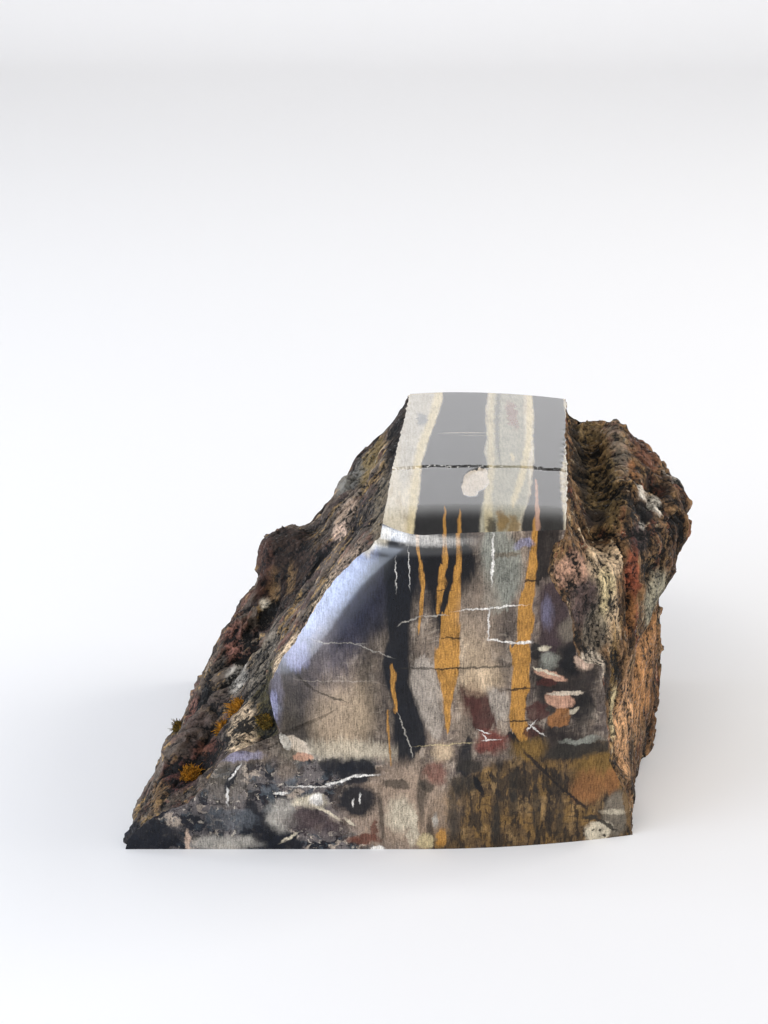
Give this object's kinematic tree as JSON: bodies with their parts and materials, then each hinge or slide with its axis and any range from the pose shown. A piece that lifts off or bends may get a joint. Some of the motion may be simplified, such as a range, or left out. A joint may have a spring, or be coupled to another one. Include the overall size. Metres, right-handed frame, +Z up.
{
  "type": "petrified wood sculpture",
  "caption": "Free-standing block of petrified wood with a sawn base, a polished front, a polished band along the top, and rough bark-like flanks with dried moss in their hollows.",
  "frame": {"origin": "on the table under the middle of the stone's box", "axes": "+X to the right across the polished front, +Y from the front to the back, +Z up"},
  "size_m": [0.1736, 0.1208, 0.1035],
  "materials": {
    "petrified_wood": "polished front and top band, broken and rough elsewhere",
    "ochre_moss": "dry and fibrous",
    "olive_moss": "dry and fibrous"
  },
  "bodies": {
    "root": {"petrified_wood": "petrified_wood", "moss_upper_tuft": "ochre_moss", "moss_middle_tuft": "ochre_moss", "moss_lower_tuft": "ochre_moss", "moss_recess_tuft": "olive_moss", "moss_outer_sprig": "olive_moss"}
  },
  "joints": []
}
